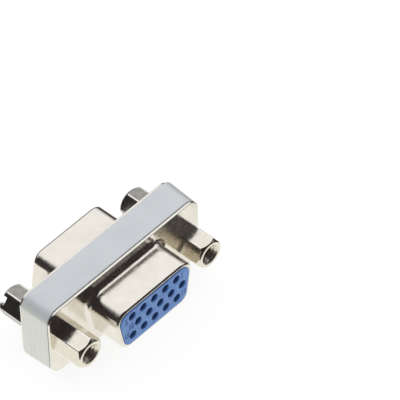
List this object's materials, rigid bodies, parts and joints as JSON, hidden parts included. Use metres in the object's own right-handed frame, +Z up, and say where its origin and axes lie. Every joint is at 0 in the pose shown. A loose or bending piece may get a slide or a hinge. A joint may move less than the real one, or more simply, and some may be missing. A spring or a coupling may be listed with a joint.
{
  "type": "vga adapter",
  "caption": "Small gender-changing adapter with a D-shaped socket connector on each side of a flat spacer frame, held together by hex jack fasteners.",
  "frame": {"origin": "middle of the flat lower face that the adapter stands on", "axes": "+X along the flanges, -Y out of the front connector (wide side up), +Z up"},
  "size_m": [0.0314, 0.0178, 0.0128],
  "materials": {
    "nickel": "bright nickel plate",
    "hardware": "turned and plated",
    "frame": "satin grey",
    "blue": "moulded, satin",
    "contact": "gold flash",
    "board": "glass laminate"
  },
  "bodies": {
    "root": {"front_shell": "nickel", "rear_shell": "nickel", "front_insulator": "blue", "rear_insulator": "blue", "spacer_frame": "frame", "crossover_board": "board", "front_left_jack_nut": "hardware", "front_right_jack_nut": "hardware", "rear_left_jack_screw": "hardware", "rear_right_jack_screw": "hardware", "front_contact_01": "contact", "front_contact_02": "contact", "front_contact_03": "contact", "front_contact_04": "contact", "front_contact_05": "contact", "front_contact_06": "contact", "front_contact_07": "contact", "front_contact_08": "contact", "front_contact_09": "contact", "front_contact_10": "contact", "front_contact_11": "contact", "front_contact_12": "contact", "front_contact_13": "contact", "front_contact_14": "contact", "front_contact_15": "contact", "rear_contact_01": "contact", "rear_contact_02": "contact", "rear_contact_03": "contact", "rear_contact_04": "contact", "rear_contact_05": "contact", "rear_contact_06": "contact", "rear_contact_07": "contact", "rear_contact_08": "contact", "rear_contact_09": "contact", "rear_contact_10": "contact", "rear_contact_11": "contact", "rear_contact_12": "contact", "rear_contact_13": "contact", "rear_contact_14": "contact", "rear_contact_15": "contact"}
  },
  "joints": []
}
